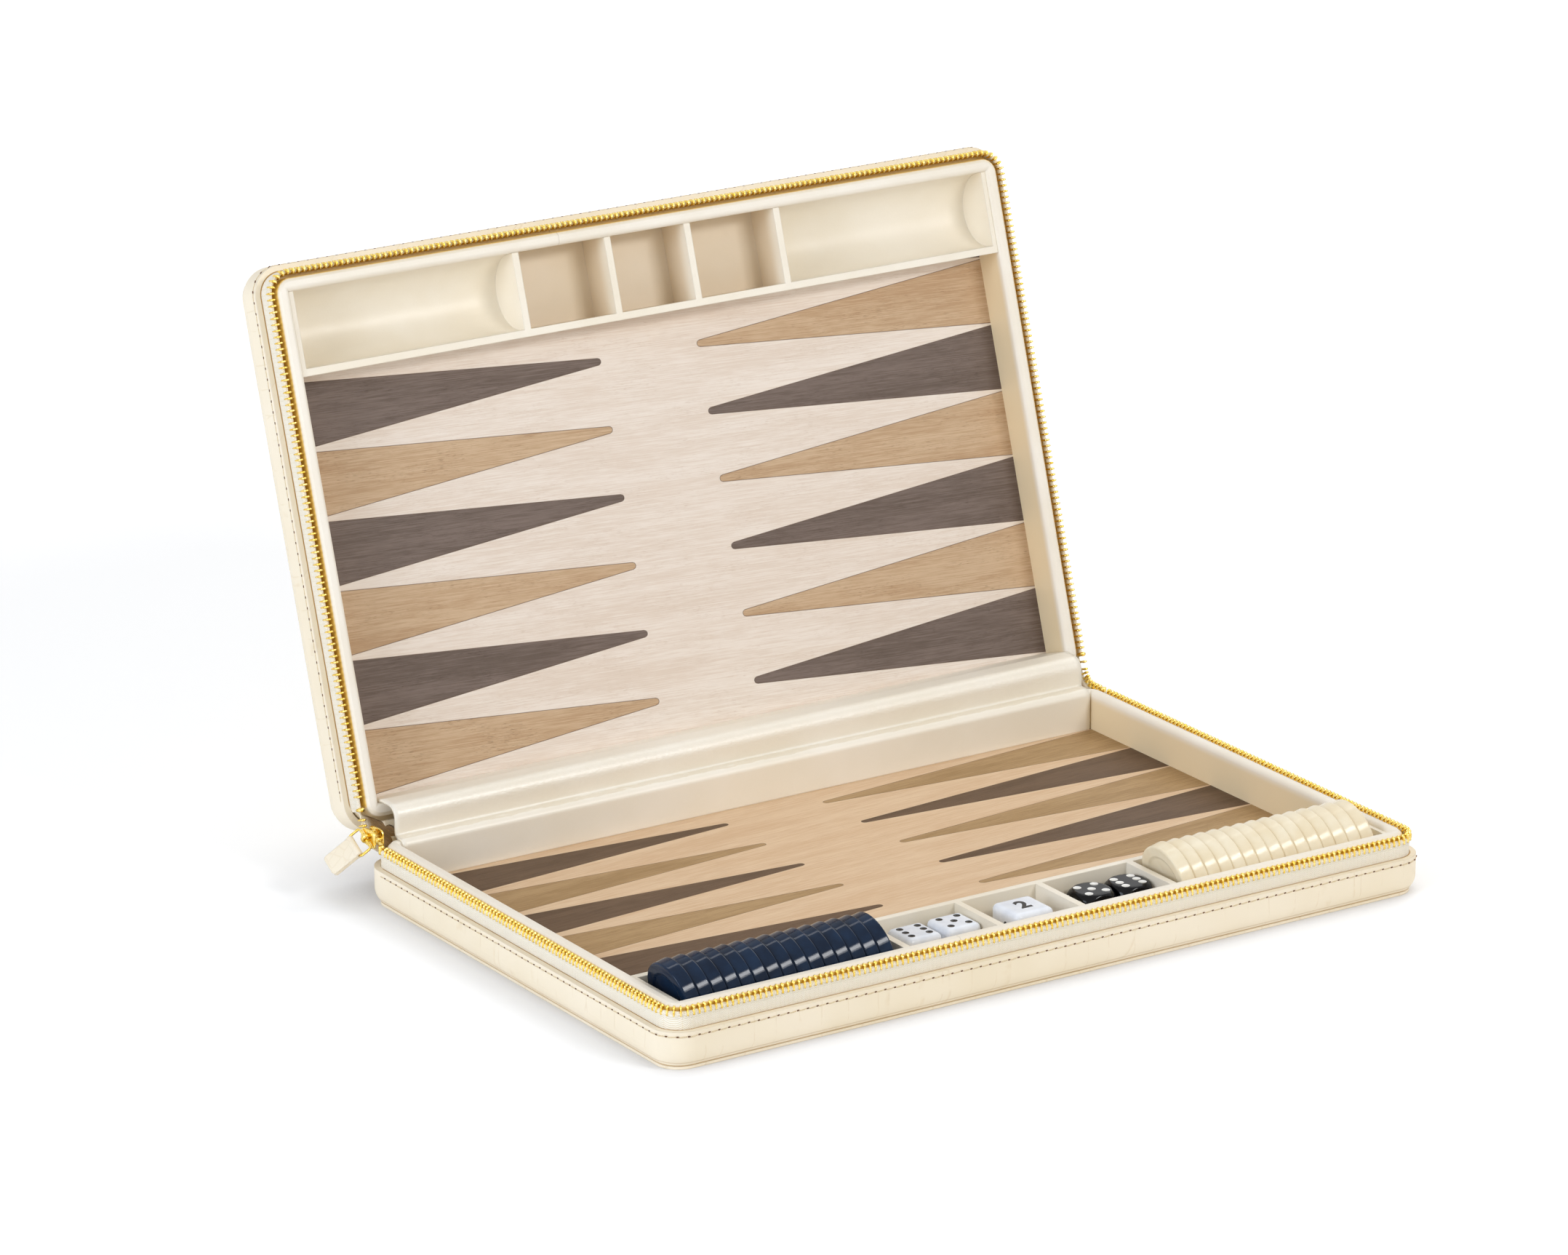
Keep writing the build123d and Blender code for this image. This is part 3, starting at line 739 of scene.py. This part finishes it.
def strip_relief(x, share, side):
    """Creases along the rim, a soft belly in the upright stretch, a few drawn puckers."""
    lift = 0.0
    seat = math.exp(-(((share - rim_share - 0.006 * waver(x * 0.6, 8.2)) / 0.012) ** 2))
    lift -= seat * (0.2 + 0.1 * waver(x, 1.3)) * MM * side
    middle = (rim_share + crown_share) / 2
    belly = math.exp(-(((share - middle) / 0.1) ** 2))
    lift += belly * (0.16 + 0.09 * waver(x * 0.4, 2.7)) * MM * side
    pucker = math.exp(-(((share - rim_share - 0.04) / 0.03) ** 2))
    lift += pucker * 0.06 * waver(x * 2.2, 4.1) * MM * side
    crown = math.exp(-(((share - crown_share) / 0.05) ** 2))
    return lift + crown * 0.07 * waver(x * 0.8, 5.9) * MM * side


def supple(name):
    """The strip's calf: finely wrinkled and glossy where it bends, smooth on the rear wall."""
    material, shader, place = new_finish(
        name, Specular_IOR_Level=0.55, Coat_Weight=0.25, Coat_Roughness=0.25
    )
    spot = place.millimetres()
    z = spot.parts()[2]
    worn = (z - rim / MM).rise(0.5, 1.6)
    grain = spot.cells(0.8)
    fine = spot.noise((1.6, 0.9, 0.9), 4.0, 0.6)
    drawn = spot.noise((7.0, 2.4, 2.4), 4.0)
    cloud = spot.noise(50.0)
    colour = (cloud.rise(0.3, 0.7) * 0.7 + grain * 0.15).mix("#F2E9D6", "#F9F2E4")
    rim_line = (z - rim / MM - drawn * 0.9).line(0.85, 0.22) * (1 - worn * 0.5)
    colour = (rim_line * 0.35).mix(colour, "#C7AB79")
    height = worn * (fine * 1.1 + drawn * 0.8) + grain * 0.14 - rim_line * 0.5
    dress(shader, colour, 0.4 - worn * 0.12 + fine * 0.14, height, 0.14)
    return material


strip = build(
    "inner_hinge_leather",
    *ribbon(line, strip_half, strip_thick, 150, strip_relief),
    supple("supple pearl calf"),
)
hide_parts("hinge_strip")
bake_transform(strip)

# ---------------------------------------------------------------------------
# Spine: a strip of the outer calf glued to both trays' backs, bent round the
# hinge's line; it carries the lid's weight.
spine_thick = 1.4 * MM
line_out = spine_thick / 2 + 0.1 * MM
spine_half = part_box("spine")[1].x
spine_foot = 7.0 * MM
lean = math.pi - opened


def bent_line():
    """Down the base's back, round the hinge's line on its outer side, and along the lid's back."""
    start = Vector((0, pin.y - line_out, spine_foot))
    turn_from = Vector((0, pin.y - line_out, rim))
    line = [start.lerp(turn_from, k / 16) for k in range(16)]
    for k in range(13):
        turn = math.pi + (lean - math.pi) * k / 12
        line.append(pin + Vector((0, math.cos(turn), math.sin(turn))) * line_out)
    over, end = on_lid(line_out, 0), on_lid(line_out, spine_foot - rim)
    return line + [over.lerp(end, k / 16) for k in range(1, 17)]


def spine_relief(x, share, side):
    """Slight drawing of the leather along the bend."""
    bend = math.exp(-(((share - 0.5) / 0.12) ** 2))
    return bend * 0.04 * waver(x * 1.5, 3.3) * MM * side


spine = build(
    "spine_leather",
    *ribbon(bent_line(), spine_half, spine_thick, 120, spine_relief, 4.0 * MM),
    calf("spine calf", "base", "panel"),
)
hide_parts("spine")
on_lid(line_out, 0)
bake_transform(spine)

# ---------------------------------------------------------------------------
# Ends of the zip at the hinge: the tape runs on free of the trays, tucked in
# towards the spine, and carries the chain's last teeth round the corner.
low_edge = Vector((0, tray_rear, tape_top))
vertex = Vector((0, pin.y + 2.57 * MM, tape_top))
high_edge = on_lid(pin.y - tray_rear, tape_top - rim)
turned = rounded([low_edge, vertex, high_edge], [9.0 * MM], 0.8 * MM)
tape_thick = 0.8 * MM
tape_high, tape_low, tape_tuck, tape_ripple = 4.3 * MM, 4.4 * MM, 12.0 * MM, 0.2 * MM


def web(side, rows=9):
    """The free tape: outside the trays at its ends, tucked in behind the spine between them."""
    points, count = [], len(turned)
    for face in (1, -1):
        for k, place in enumerate(turned):
            ahead = (turned[min(k + 1, count - 1)] - turned[max(k - 1, 0)]).normalized()
            outward = Vector((0, ahead.z, -ahead.y))
            share = k / (count - 1)
            slack = math.sin(math.pi * share)
            for r in range(rows):
                q = r / (rows - 1)
                deep = (tape_high * (1 - slack) - tape_low * slack) * q
                ripple = tape_ripple * math.sin(7 * q + 9 * share)
                tuck = (tape_tuck * q**1.5 + ripple) * slack
                x = side * (tape_x - 0.6 * MM * (1 - slack) - tuck + face * tape_thick / 2)
                points.append(place + outward * deep + Vector((x, 0, 0)))
    faces = two_sided(count, rows)
    return points, faces if side > 0 else [face[::-1] for face in faces]


corner_tape = herringbone("free zip tape", tucked=True)
for side, name in ((-1, "left"), (1, "right")):
    piece = build(f"{name}_free_tape", *web(side), corner_tape)
    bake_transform(piece)
    run = turned if side > 0 else turned[len(turned) // 2 :]
    places = []
    travelled, wanted = 0.0, 1.2 * MM
    for a, b in zip(run, run[1:]):
        travelled += (b - a).length
        if travelled >= wanted and (b - high_edge).length > 1.0 * MM:
            wanted += tooth_pitch
            ahead = (b - a).normalized()
            tips = Vector((0, -ahead.z, ahead.y))
            across = ahead.cross(tips)
            turn = Matrix((ahead, across * -1, tips)).transposed().to_4x4()
            middle = b + tips * 3.5 * MM + Vector((side * tape_x, 0, 0))
            places.append(Matrix.Translation(middle) @ turn)
    piece = build(f"{name}_last_teeth", *many(tooth, places), gilded)
    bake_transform(piece)

# ---------------------------------------------------------------------------
# Slider and bail: cast and stamped brass, gilded like the teeth and polished
# brighter.  Two softly domed plates are joined by the wedge that parts the
# chains, and the bail hooks through the lug on the outer plate.
slider_low, slider_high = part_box("zipper_slider")
slider_half = (slider_high.y - slider_low.y) / 2
mouth_half = (slider_high.z - slider_low.z) / 2
tail_half = 3.2 * MM
plate_gap = 1.45 * MM
plate_out = 2.3 * MM
slider_middle = (slider_low + slider_high) / 2
slider_middle.x = slider_high.x - plate_out
lug_width, lug_half, lug_height = 1.6 * MM, 2.2 * MM, 2.8 * MM
lug_bore, lug_pivot = 0.9 * MM, 1.0 * MM
bar_slant = math.radians(30)


def tapered(steps, middle, length, wide, narrow, sides=40, square=4.0):
    """A rounded form along Y from `wide` to `narrow`, stacked along X in (x, scale) steps."""
    mean, flare = (wide + narrow) / 2, (narrow - wide) / 2
    sections = []
    for x, scale in steps:
        ring = [(u * scale, v * scale) for u, v in outline(sides, square)]
        ring = [Vector((x, length * u, v * (mean + flare * u))) for u, v in ring]
        sections.append([middle + point for point in ring])
    return rings(sections)


def domed(side):
    """One plate: flat towards the chain, its rim rounded and its outer face softly domed."""
    profile = [(0.0, 0.5), (0.0, 0.93), (0.1, 0.975), (0.35, 1.0), (0.62, 0.99),
               (0.85, 0.93), (0.93, 0.82), (1.0, 0.55), (1.02, 0.2)]  # fmt: skip
    steps = [(side * (plate_gap + out * MM), scale) for out, scale in profile]
    return tapered(steps, slider_middle, slider_half, mouth_half, tail_half)


def lug():
    """The eye that carries the bail: a rounded arch standing on the outer plate."""
    face = slider_middle - Vector((plate_out, 0, 0))
    bar = Vector((0, math.cos(bar_slant), math.sin(bar_slant)))
    down = Vector((0, math.sin(bar_slant), -math.cos(bar_slant)))
    out = Vector((-1, 0, 0))
    section = [(0.0, -0.3), (0.0, 0.3), (0.2, 0.46), (0.8, 0.5), (1.0, 0.3), (1.0, -0.3),
               (0.8, -0.5), (0.2, -0.46)]  # fmt: skip
    points, faces, count = [], [], 36
    for k in range(count):
        turn = 2 * math.pi * k / count
        c, s = math.cos(turn), math.sin(turn)
        inner = (lug_bore * c, lug_bore * s)
        tall = lug_height - lug_pivot if s > 0 else lug_pivot + 0.3 * MM
        outer = (lug_half * c, tall * s)
        for share, wide in section:
            y = inner[0] + (outer[0] - inner[0]) * share
            z = lug_pivot + inner[1] + (outer[1] - inner[1]) * share
            points.append(face + down * y + out * z + bar * wide * lug_width)
    sides = len(section)
    for k in range(count):
        m = (k + 1) % count
        for i in range(sides):
            j = (i + 1) % sides
            faces.append((k * sides + i, m * sides + i, m * sides + j, k * sides + j))
    return points, faces


wedge_length, wedge_high, wedge_low = 3.6 * MM, 1.1 * MM, 0.37 * MM
wedge_middle = slider_middle + Vector((0, 0.15 * MM + wedge_length / 2 - slider_half, 0))
wedge_steps = [(-plate_gap - 0.3 * MM, 1.0), (plate_gap + 0.3 * MM, 1.0)]
wedge = tapered(wedge_steps, wedge_middle, wedge_length / 2, wedge_high, wedge_low, 24, 3.0)
cast = joined(domed(1), domed(-1), wedge, lug())
slider = build("zip_slider_cast", *cast, gilt("polished gilding", 0.09, 0.003))
fixed = bmesh.new()
fixed.from_mesh(slider.data)
bmesh.ops.recalc_face_normals(fixed, faces=fixed.faces)
fixed.to_mesh(slider.data)
fixed.free()
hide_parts("zipper_slider")
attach(slider, "slider")
given("pull_bail", gilt("bright gilding", 0.1, 0.003, 0.3))

# ---------------------------------------------------------------------------
# Pull: a tongue of the outer calf, folded round the bail's bar and sewn to
# itself along its two edges.
given("pull_tab", calf("pull calf", "base", "pull"))

# ---------------------------------------------------------------------------
# Checkers: cast resin with a satin polish, turned on a lathe, each with a
# bevelled edge and a shallow dish on both faces.  Fifteen navy, fifteen cream.
half_profile = [
    (0.01, 2.5), (8.6, 2.5), (9.3, 2.55), (9.8, 2.85), (10.2, 2.98), (10.5, 3.0), (13.3, 3.0),
    (13.55, 3.0), (13.85, 2.93), (14.1, 2.74), (14.22, 2.5), (14.25, 2.3), (14.25, 2.1),
]  # fmt: skip
checker_profile = [(r, -t) for r, t in half_profile] + half_profile[::-1]
lifting = next(j for j in frame["joints"] if j["name"] == "lift_navy_checker_01")
checker_slide = Vector(lifting["axis"])


def turned_disc(centre, slide):
    """A checker about its centre, its axis square to the sliding direction."""
    axis = Vector((slide.z, 0, -slide.x)).normalized()
    across = Vector((0, 1, 0))
    rise = axis.cross(across)
    return rings([
        [centre + ((across * u + rise * v) * r + axis * t) * MM for u, v in outline(56)]
        for r, t in checker_profile
    ])  # fmt: skip


def resin(name, low, high, rough):
    material, shader, place = new_finish(name, Specular_IOR_Level=0.17)
    spot = place.millimetres()
    cloud = spot.noise(11.0)
    scuff = spot.noise((0.9, 7.0, 0.9), 4.0, 0.7)
    lathe = spot.noise(0.4)
    colour = cloud.rise(0.3, 0.7).mix(low, high)
    dress(shader, colour, rough + scuff.rise(0.5, 0.8) * 0.1, lathe * 0.3 + scuff * 0.5, 0.003)
    return material


finishes = {
    "navy": resin("navy resin", "#0E1D31", "#182C45", 0.07),
    "cream": resin("cream resin", "#EFDFBE", "#F6EACF", 0.12),
}
for kind, material in finishes.items():
    for i in range(1, 16):
        node = f"{kind}_checker_{i:02d}"
        low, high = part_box(node)
        piece = build(f"{node}_turned", *turned_disc((low + high) / 2, checker_slide), material)
        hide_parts(node)
        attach(piece, node)

# ---------------------------------------------------------------------------
# Dice: precision cast resin, tumbled round, the pips drilled as shallow dishes
# and filled with paint.  The white pair is softly squared; the black pair is
# ground to a ball at its corners, which leaves round faces.
die_half = 8.0


def tumbled(centre, half, round_edge, ball, steps=26):
    """A cube with rounded edges whose corners are also ground to a ball."""
    points, faces, found = [], [], {}

    def corner(i, j, k):
        key = (i, j, k)
        if key not in found:
            p = Vector((i, j, k)) * (2 * half / steps) - Vector((half, half, half))
            core = Vector([max(-half + round_edge, min(half - round_edge, c)) for c in p])
            if (p - core).length > 1e-9:
                p = core + (p - core).normalized() * round_edge
            if p.length > ball:
                p = p.normalized() * (ball + (p.length - ball) * 0.12)
            found[key] = len(points)
            points.append(centre + p * MM)
        return found[key]

    for a in range(steps):
        for b in range(steps):
            for level in (0, steps):
                quad = [(a, b), (a + 1, b), (a + 1, b + 1), (a, b + 1)]
                if level == 0:
                    quad = quad[::-1]
                faces.append([corner(u, v, level) for u, v in quad])
                faces.append([corner(level, u, v) for u, v in quad])
                faces.append([corner(v, level, u) for u, v in quad])
    return points, faces


pip_places = {
    1: [(0, 0)],
    2: [(-1, -1), (1, 1)],
    3: [(-1, -1), (0, 0), (1, 1)],
    4: [(-1, -1), (1, 1), (-1, 1), (1, -1)],
    5: [(-1, -1), (1, 1), (-1, 1), (1, -1), (0, 0)],
    6: [(-1, -1), (-1, 0), (-1, 1), (1, -1), (1, 0), (1, 1)],
}


def pips(top, front, left, centre, spread):
    """Centres of the pips, given the numbers on three faces; opposite faces add up to seven."""
    axes = [Vector((1, 0, 0)), Vector((0, 1, 0)), Vector((0, 0, 1))]
    numbers = [(7 - left, left), (7 - front, front), (top, 7 - top)]
    centres = []
    for i, (plus, minus) in enumerate(numbers):
        normal, u, v = axes[i], axes[(i + 1) % 3], axes[(i + 2) % 3]
        for number, sign in ((plus, 1), (minus, -1)):
            for a, b in pip_places[number]:
                arm = normal * sign * die_half + (u * a + v * b) * spread
                centres.append(centre + arm * MM)
    return centres


def spotted(name, body, centres=(), size=1.0, pip="#15161A"):
    """Resin with painted pips, each a shallow dish."""
    material, shader, place = new_finish(name, Specular_IOR_Level=0.17)
    spot = place.millimetres()
    cloud = spot.noise(5.0)
    scuff = spot.noise((0.8, 3.0, 0.8), 3.0)
    colour = cloud.rise(0.3, 0.7).mix(*body)
    rough, height = 0.08 + scuff * 0.08, scuff * 0.02
    if centres:
        nearest = None
        for centre in centres:
            away = place.vector("DISTANCE", tuple(centre), output=1) * 1000
            nearest = away if nearest is None else nearest.sum("MINIMUM", away)
        mark = 1 - nearest.rise(size - 0.07, size + 0.07)
        colour = mark.mix(colour, pip)
        rough = rough + mark * 0.12
        height = height - (1 - nearest.rise(size * 0.2, size * 1.12))
    dress(shader, colour, rough, height, 0.35)
    return material


dice = {
    "white_die_1": (6, 4, 5, 4.1, 1.45, 2.3, 12.6),
    "white_die_2": (5, 3, 1, 4.1, 1.45, 2.3, 12.6),
    "black_die_1": (5, 1, 4, 4.0, 1.65, 1.0, 10.9),
    "black_die_2": (6, 2, 3, 4.0, 1.65, 1.0, 10.9),
}
for node, (top, front, left, spread, size, round_edge, ball) in dice.items():
    low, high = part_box(node)
    centre = (low + high) / 2
    marks = pips(top, front, left, centre, spread)
    if node.startswith("white"):
        body, pip, slot = ("#E6EAF1", "#F1F4F9"), "#15161A", "white_resin"
    else:
        body, pip, slot = ("#08080A", "#111114"), "#F4F3EE", "black_resin"
    material = spotted(f"{node} resin", body, marks, size, pip)
    piece = build(f"{node}_tumbled", *tumbled(centre, die_half, round_edge, ball), material)
    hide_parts(node)
    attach(piece, node)

# ---------------------------------------------------------------------------
# Doubling cube: larger, in the same white resin, its numerals printed square on
# the faces, the two up for a new game.
low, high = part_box("doubling_cube")
cube_half = (high.x - low.x) / 2 / MM
cube_edge, cube_ball = 2.4, 14.3
centre = (low + high) / 2
white = spotted("cube resin", ("#E6EAF1", "#F1F4F9"))
cube = build("doubling_cube_cast", *tumbled(centre, cube_half, cube_edge, cube_ball), white)
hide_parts("doubling_cube")
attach(cube, "doubling_cube")


def ink(name):
    material, shader, place = new_finish(name, Specular_IOR_Level=0.4)
    spot = place.millimetres()
    spread = spot.noise(0.7)
    colour = spread.rise(0.3, 0.7).mix("#101114", "#1D1E23")
    dress(shader, colour, 0.3 + spread * 0.2, spread, 0.01)
    return material


black_ink = ink("black ink")
right, up, out = Vector((1, 0, 0)), Vector((0, 1, 0)), Vector((0, 0, 1))
numeral_sizes = {1: 10.2, 2: 8.2}
numerals = [
    ("2", right, up, out),
    ("4", -up, out, -right),
    ("8", right, out, -up),
    ("16", up, out, right),
    ("32", -right, out, up),
    ("64", right, -up, -out),
]
for text, across, upright, outward in numerals:
    letters = bpy.data.curves.new(f"numeral_{text}", "FONT")
    letters.body = text
    letters.size = numeral_sizes[len(text)] * MM
    letters.align_x, letters.align_y = "CENTER", "CENTER"
    letters.offset = 0.4 * MM
    letters.extrude = 0.02 * MM
    letters.resolution_u = 6
    letters.materials.append(black_ink)
    piece = bpy.data.objects.new(f"cube_numeral_{text}", letters)
    bpy.context.scene.collection.objects.link(piece)
    turn = Matrix((across, upright, outward)).transposed().to_4x4()
    piece.matrix_world = Matrix.Translation(centre + outward * (cube_half + 0.01) * MM) @ turn
    bpy.context.view_layer.update()
    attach(piece, "doubling_cube")

# ---------------------------------------------------------------------------
# Studio: a white table in a white room, with a grey shadow painted where the set stands near it.
# Broad soft lamps behind on the right, in front and on the left, one that only
# shows as a gleam, a narrow strip above, and the camera.
middle = Vector((0, 0.03, 0.06))


def lamp(name, place, width, height, power, colour=(1, 1, 1), gloss_only=False):
    light = bpy.data.lights.new(name, "AREA")
    light.shape = "RECTANGLE"
    light.size, light.size_y = width, height
    light.energy = power
    light.color = colour
    holder = bpy.data.objects.new(name, light)
    holder.location = place
    holder.rotation_euler = (middle - Vector(place)).to_track_quat("-Z", "Y").to_euler()
    holder.visible_diffuse = not gloss_only
    bpy.context.scene.collection.objects.link(holder)


lamp("key_softbox", (1.3, 0.55, 1.35), 1.2, 1.2, 6.6)
lamp("front_softbox", (0.72, -1.8, 1.35), 0.8, 0.36, 15.0)
lamp("front_glint", (0.71, -1.78, 1.3), 0.78, 0.62, 14.0, gloss_only=True)
lamp("left_softbox", (-1.74, -0.3, 0.68), 0.7, 0.95, 14.0, (0.88, 0.98, 1.14))
lamp("top_strip", (0.45, 0.7, 1.9), 1.5, 0.2, 3.5)

world = bpy.data.worlds.new("white room")
world.use_nodes = True
bpy.context.scene.world = world
room = world.node_tree


def rays(tree, *kinds):
    """1 on rays of these kinds, 0 on all others."""
    path = tree.nodes.new("ShaderNodeLightPath")
    first, *others = [Value(tree, path.outputs[f"Is {kind} Ray"]) for kind in kinds]
    for other in others:
        first = first.sum("MAXIMUM", other)
    return first


seen = rays(room, "Camera", "Glossy", "Transmission")
level = seen * 0.51 + 0.49
room.links.new(level.socket, room.nodes["Background"].inputs["Strength"])
room.nodes["Background"].inputs["Color"].default_value = (1, 1, 1, 1)

table_half = 6.0
square = [(x * table_half, y * table_half, 0) for x, y in ((-1, -1), (1, -1), (1, 1), (-1, 1))]
paper, shader, place = new_finish("white paper", Specular_IOR_Level=0.0)
fibres = place.noise(0.004)
# Painted shadow: ambient occlusion turns the table grey near the set, and the white glow that the
# camera sees, stronger further out, is left out there.
open_sky = fibres.node("ShaderNodeAmbientOcclusion", {"samples": 4}, {"Distance": 0.06}, 1)
near = 1 - open_sky.rise(0.1, 1.0)
sheet = fibres.mix("#FCFCFC", "#FFFFFF")
dress(shader, sheet, 0.9)
tree = paper.node_tree
far = place.vector("DISTANCE", (0, 0, 0), output=1).rise(0.5, 2.2)
lift = (1 - near) * (far * 0.4 + 0.2)
glow = fibres.node("ShaderNodeEmission", (), {"Color": lift.mix("#000000", "#FFFFFF")})
own = Value(tree, shader.outputs[0])
shaded = (near * 0.75).mix(sheet, "#C9CBD2")
matt = own.node("ShaderNodeBsdfDiffuse", (), {"Color": shaded})
both = own.node("ShaderNodeAddShader", (), {0: matt, 1: glow})
looked_at = rays(tree, "Camera", "Glossy")
shown = own.node("ShaderNodeMixShader", (), {0: looked_at, 1: own, 2: both})
tree.links.new(shown.socket, tree.nodes["Material Output"].inputs["Surface"])
floor = build("table", square, [(0, 1, 2, 3)], paper)
floor.location.z = -0.05 * MM

eye = bpy.data.cameras.new("camera")
eye.sensor_width, eye.lens = 36.0, 165.51985
eye.clip_start, eye.clip_end = 0.1, 50.0
viewer = bpy.data.objects.new("camera", eye)
forward = Vector((0.51536, 0.79756, -0.31354))
roll = Matrix.Rotation(math.radians(-0.319), 4, "Z")
aim = forward.to_track_quat("-Z", "Y").to_matrix().to_4x4()
viewer.matrix_world = Matrix.Translation((-1.4865, -2.2202, 0.9937)) @ aim @ roll
bpy.context.scene.collection.objects.link(viewer)
bpy.context.scene.camera = viewer
bpy.context.scene.view_settings.view_transform = "Standard"
